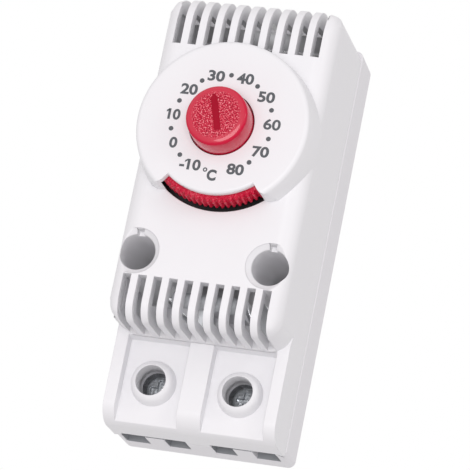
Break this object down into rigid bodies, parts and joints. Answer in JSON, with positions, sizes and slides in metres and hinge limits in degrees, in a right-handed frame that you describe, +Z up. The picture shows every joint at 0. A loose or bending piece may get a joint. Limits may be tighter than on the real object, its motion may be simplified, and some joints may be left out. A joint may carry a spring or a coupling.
{
  "type": "din rail thermostat",
  "caption": "White rail-mounted thermostat: vented housing with a red setting knob and knurled wheel on a numbered round dial, two screw terminals and a sprung rail clip.",
  "frame": {"origin": "middle of the face that seats on the rail, at half the body's width and half its height", "axes": "+Y out of the back of the body into the rail, +Z up along the body's height, +X to the right seen from the front"},
  "size_m": [0.0338, 0.0463, 0.0816],
  "materials": {
    "housing": "fine satin moulded plastic, near white",
    "base": "satin moulded plastic, light grey white",
    "red_plastic": "crimson moulded plastic, glossy rim and grained face",
    "black_plastic": "black moulded plastic",
    "steel": "plain steel",
    "zinc_steel": "bright zinc plated steel",
    "brass": "stamped brass",
    "tinned_brass": "tin plated brass sheet",
    "bimetal": "rolled bimetal",
    "contact_silver": "silver alloy",
    "magnet": "dark ferrite",
    "resistor_body": "pale cement coating",
    "tinned_wire": "tinned copper wire"
  },
  "bodies": {
    "case": {"front_housing": "housing", "rear_base": "base", "housing_screws": "steel", "spindle_bush": "brass", "wheel_carrier": "black_plastic", "lever_pin": "steel", "pivot_bracket": "tinned_brass", "snap_magnet": "magnet", "fixed_contact": "contact_silver", "contact_strip": "tinned_brass", "feedback_resistor": "resistor_body", "resistor_leads": "tinned_wire", "clip_spring": "steel"},
    "wheel": {"setting_wheel": "red_plastic"},
    "spindle": {"adjusting_spindle": "steel"},
    "lever": {"adjusting_lever": "steel", "lever_rivet": "brass"},
    "bimetal": {"bimetal_strip": "bimetal", "moving_contact": "contact_silver", "armature": "steel"},
    "left_clamp": {"left_clamp_plate": "zinc_steel"},
    "left_screw": {"left_terminal_screw": "zinc_steel"},
    "right_clamp": {"right_clamp_plate": "zinc_steel"},
    "right_screw": {"right_terminal_screw": "zinc_steel"},
    "clip": {"rail_clip": "black_plastic"}
  },
  "joints": [
    {"name": "wheel_turn", "type": "hinge", "parent": "case", "child": "wheel", "pos_m": [0, -0.0336, 0.0129], "axis": [0, 1, 0], "range_deg": [-136, 170]},
    {"name": "spindle_feed", "type": "slide", "parent": "wheel", "child": "spindle", "axis": [0, 1, 0], "range_m": [-0.00018888, 0.0002361]},
    {"name": "lever_swing", "type": "hinge", "parent": "case", "child": "lever", "pos_m": [0, -0.0193, -0.001], "axis": [-1, 0, 0], "range_deg": [-0.9, 1.1]},
    {"name": "bimetal_flex", "type": "hinge", "parent": "lever", "child": "bimetal", "pos_m": [0, -0.01585, 0.0214], "axis": [-1, 0, 0], "range_deg": [0, 2], "stiffness_Nm_per_rad": 0.02, "springref_deg": -1.15},
    {"name": "left_clamp_slide", "type": "slide", "parent": "case", "child": "left_clamp", "axis": [0, 1, 0], "range_m": [0, 0.0024]},
    {"name": "left_screw_turn", "type": "hinge", "parent": "left_clamp", "child": "left_screw", "pos_m": [-0.0083, -0.0131, -0.0324], "axis": [0, 1, 0], "range_deg": [0, 1440]},
    {"name": "right_clamp_slide", "type": "slide", "parent": "case", "child": "right_clamp", "axis": [0, 1, 0], "range_m": [0, 0.0024]},
    {"name": "right_screw_turn", "type": "hinge", "parent": "right_clamp", "child": "right_screw", "pos_m": [0.0083, -0.0131, -0.0324], "axis": [0, 1, 0], "range_deg": [0, 1440]},
    {"name": "clip_slide", "type": "slide", "parent": "case", "child": "clip", "axis": [0, 0, -1], "range_m": [0, 0.0026], "stiffness_N_per_m": 300, "springref_m": -0.002, "deforming": ["clip_spring"]}
  ],
  "couplings": [
    {"joint": "wheel_turn", "follows": "spindle_feed", "rad_per_m": 12566},
    {"joint": "lever_swing", "follows": "spindle_feed", "rad_per_m": 71.94},
    {"joint": "left_screw_turn", "follows": "left_clamp_slide", "rad_per_m": 10472},
    {"joint": "right_screw_turn", "follows": "right_clamp_slide", "rad_per_m": 10472}
  ]
}
